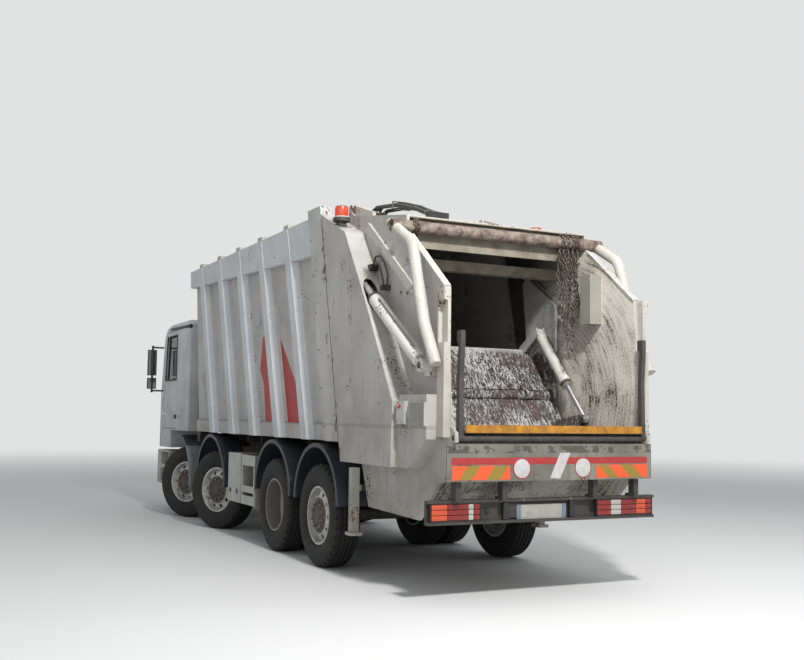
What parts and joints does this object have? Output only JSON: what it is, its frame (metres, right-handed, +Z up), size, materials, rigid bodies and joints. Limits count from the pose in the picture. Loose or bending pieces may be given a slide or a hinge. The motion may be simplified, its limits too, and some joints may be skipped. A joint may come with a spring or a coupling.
{
  "type": "rear loading refuse truck",
  "caption": "Rear loading refuse collection truck with a tilting cab, ribbed load body, liftable tailgate, packer blade, bin lift and steered front axles.",
  "frame": {"origin": "ground point under the middle of the overall length, on the truck's middle plane", "axes": "+X to the front of the truck, +Y to its left, +Z up"},
  "size_m": [9.628, 2.94, 3.8459],
  "materials": {
    "chassis_paint": "dusty dark paint",
    "engine_iron": "cast",
    "axle_paint": "dusty black paint",
    "guard_paint": "dull blue black",
    "box_metal": "dull sheet",
    "bumper_plastic": "dirty light paint",
    "lamp_plastic": "clear gloss",
    "black_plastic": "dull",
    "floor_paint": "worn",
    "body_paint": "dirty warm grey white",
    "blade_paint": "worn",
    "cab_paint": "dirty white",
    "seat_plastic": "woven",
    "frame_paint": "rusty paint",
    "worn_steel": "scratched",
    "lip_paint": "yellow orange, worn",
    "cylinder_paint": "dirty",
    "dark_paint": "dull",
    "beacon_plastic": "clear amber and red",
    "rod_chrome": "polished",
    "chain_steel": "rusty",
    "black_rubber": "dull",
    "tyre": "dusty",
    "rim_paint": "dirty grey",
    "glass": "clear"
  },
  "bodies": {
    "chassis": {"chassis_frame": "chassis_paint", "engine": "engine_iron", "axles": "axle_paint", "wheel_guards": "guard_paint", "cab_guards": "guard_paint", "side_boxes": "box_metal", "front_bumper": "bumper_plastic", "headlamps": "lamp_plastic", "air_intake": "black_plastic", "body_floor": "floor_paint", "body_sides": "body_paint", "body_roof": "body_paint", "body_rear_frame": "body_paint"},
    "cab": {"cab_shell": "cab_paint", "windscreen": "glass", "cab_front_panel": "black_plastic", "cab_interior": "seat_plastic", "mirrors": "black_plastic"},
    "door_left": {"door_left": "cab_paint", "door_glass_left": "glass"},
    "door_right": {"door_right": "cab_paint", "door_glass_right": "glass"},
    "tailgate": {"tailgate_sides": "body_paint", "tailgate_frame": "frame_paint", "hopper_bowl": "worn_steel", "lip_strip": "lip_paint", "outer_barrels": "cylinder_paint", "rear_bumper": "dark_paint", "rear_lamps": "lamp_plastic", "beacons": "beacon_plastic", "chains": "chain_steel", "hoses": "black_rubber"},
    "ejector": {"ejector": "blade_paint"},
    "lift_barrels": {"lift_barrels": "cylinder_paint"},
    "lift_rods": {"lift_rods": "rod_chrome"},
    "carriage": {"carriage": "worn_steel"},
    "blade": {"blade": "worn_steel"},
    "blade_barrels": {"blade_barrels": "cylinder_paint"},
    "blade_rods": {"blade_rods": "rod_chrome"},
    "bin_lift": {"bin_lift": "dark_paint"},
    "steer_1_left": {"knuckle_1_left": "axle_paint"},
    "steer_1_right": {"knuckle_1_right": "axle_paint"},
    "steer_2_left": {"knuckle_2_left": "axle_paint"},
    "steer_2_right": {"knuckle_2_right": "axle_paint"},
    "wheel_1_left": {"tyre_1_left": "tyre", "rim_1_left": "rim_paint"},
    "wheel_1_right": {"tyre_1_right": "tyre", "rim_1_right": "rim_paint"},
    "wheel_2_left": {"tyre_2_left": "tyre", "rim_2_left": "rim_paint"},
    "wheel_2_right": {"tyre_2_right": "tyre", "rim_2_right": "rim_paint"},
    "wheel_3_left": {"tyre_3_left": "tyre", "rim_3_left": "rim_paint"},
    "wheel_3_right": {"tyre_3_right": "tyre", "rim_3_right": "rim_paint"},
    "wheel_4_left": {"tyre_4_left": "tyre", "rim_4_left": "rim_paint"},
    "wheel_4_right": {"tyre_4_right": "tyre", "rim_4_right": "rim_paint"}
  },
  "joints": [
    {"name": "cab_tilt", "type": "hinge", "parent": "chassis", "child": "cab", "pos_m": [4.724, 0, 0.9], "axis": [0, 1, 0], "range_deg": [0, 50]},
    {"name": "door_left_hinge", "type": "hinge", "parent": "cab", "child": "door_left", "pos_m": [4.541, 1.233, 1.7], "axis": [0, 0, -1], "range_deg": [0, 70]},
    {"name": "door_right_hinge", "type": "hinge", "parent": "cab", "child": "door_right", "pos_m": [4.541, -1.233, 1.7], "axis": [0, 0, 1], "range_deg": [0, 70]},
    {"name": "steer_1_left", "type": "hinge", "parent": "chassis", "child": "steer_1_left", "pos_m": [3.374, 0.9, 0.53], "axis": [0, 0, 1], "range_deg": [-68, 8]},
    {"name": "steer_1_right", "type": "hinge", "parent": "chassis", "child": "steer_1_right", "pos_m": [3.374, -0.9, 0.53], "axis": [0, 0, 1], "range_deg": [-68, 8]},
    {"name": "steer_2_left", "type": "hinge", "parent": "chassis", "child": "steer_2_left", "pos_m": [1.674, 0.9, 0.53], "axis": [0, 0, 1], "range_deg": [-54.4, 6.4]},
    {"name": "steer_2_right", "type": "hinge", "parent": "chassis", "child": "steer_2_right", "pos_m": [1.674, -0.9, 0.53], "axis": [0, 0, 1], "range_deg": [-54.4, 6.4]},
    {"name": "wheel_1_left_spin", "type": "hinge", "parent": "steer_1_left", "child": "wheel_1_left", "pos_m": [3.289, 1.04722, 0.53], "axis": [-0.5, 0.866, 0], "continuous": true},
    {"name": "wheel_1_right_spin", "type": "hinge", "parent": "steer_1_right", "child": "wheel_1_right", "pos_m": [3.459, -1.04722, 0.53], "axis": [-0.5, 0.866, 0], "continuous": true},
    {"name": "wheel_2_left_spin", "type": "hinge", "parent": "steer_2_left", "child": "wheel_2_left", "pos_m": [1.60485, 1.0553, 0.53], "axis": [-0.4067, 0.9135, 0], "continuous": true},
    {"name": "wheel_2_right_spin", "type": "hinge", "parent": "steer_2_right", "child": "wheel_2_right", "pos_m": [1.74314, -1.0553, 0.53], "axis": [-0.4067, 0.9135, 0], "continuous": true},
    {"name": "wheel_3_left_spin", "type": "hinge", "parent": "chassis", "child": "wheel_3_left", "pos_m": [-0.876, 1.07, 0.53], "axis": [0, 1, 0], "continuous": true},
    {"name": "wheel_3_right_spin", "type": "hinge", "parent": "chassis", "child": "wheel_3_right", "pos_m": [-0.876, -1.07, 0.53], "axis": [0, 1, 0], "continuous": true},
    {"name": "wheel_4_left_spin", "type": "hinge", "parent": "chassis", "child": "wheel_4_left", "pos_m": [-2.226, 1.07, 0.53], "axis": [0, 1, 0], "continuous": true},
    {"name": "wheel_4_right_spin", "type": "hinge", "parent": "chassis", "child": "wheel_4_right", "pos_m": [-2.226, -1.07, 0.53], "axis": [0, 1, 0], "continuous": true},
    {"name": "tailgate_lift", "type": "hinge", "parent": "chassis", "child": "tailgate", "pos_m": [-2.196, 0, 3.8], "axis": [0, 1, 0], "range_deg": [0, 90]},
    {"name": "lift_barrel_swing", "type": "hinge", "parent": "chassis", "child": "lift_barrels", "pos_m": [-2.806, 0, 2], "axis": [0, 1, 0], "range_deg": [-8.6, 0.5]},
    {"name": "lift_rod_slide", "type": "slide", "parent": "lift_barrels", "child": "lift_rods", "axis": [0.2219, 0, 0.9751], "range_m": [-0.005, 0.605]},
    {"name": "carriage_slide", "type": "slide", "parent": "tailgate", "child": "carriage", "axis": [0.832, 0, 0.5548], "range_m": [-0.35, 0.25]},
    {"name": "blade_swing", "type": "hinge", "parent": "carriage", "child": "blade", "pos_m": [-3.356, 0, 1.8], "axis": [0, 1, 0], "range_deg": [-25, 45]},
    {"name": "blade_barrel_swing", "type": "hinge", "parent": "carriage", "child": "blade_barrels", "pos_m": [-3.256, 0, 2.47], "axis": [0, 1, 0], "range_deg": [-13.2, 23.71]},
    {"name": "blade_rod_slide", "type": "slide", "parent": "blade_barrels", "child": "blade_rods", "axis": [-0.6626, 0, -0.749], "range_m": [-0.3259, 0.1815]},
    {"name": "bin_lift_swing", "type": "hinge", "parent": "tailgate", "child": "bin_lift", "pos_m": [-4.768, 0, 1.395], "axis": [0, -1, 0], "range_deg": [0, 115]},
    {"name": "ejector_slide", "type": "slide", "parent": "chassis", "child": "ejector", "axis": [-1, 0, 0], "range_m": [0, 4.6]}
  ],
  "couplings": [
    {"joint": "steer_1_right", "follows": "steer_1_left", "ratio": 1},
    {"joint": "steer_2_left", "follows": "steer_1_left", "ratio": 0.8},
    {"joint": "steer_2_right", "follows": "steer_1_left", "ratio": 0.8},
    {"joint": "lift_barrel_swing", "follows": "tailgate_lift", "ratio": -0.09543},
    {"joint": "lift_rod_slide", "follows": "tailgate_lift", "m_per_rad": 0.38062},
    {"joint": "blade_barrel_swing", "follows": "blade_swing", "ratio": 0.5258},
    {"joint": "blade_rod_slide", "follows": "blade_swing", "m_per_rad": -0.41373}
  ]
}
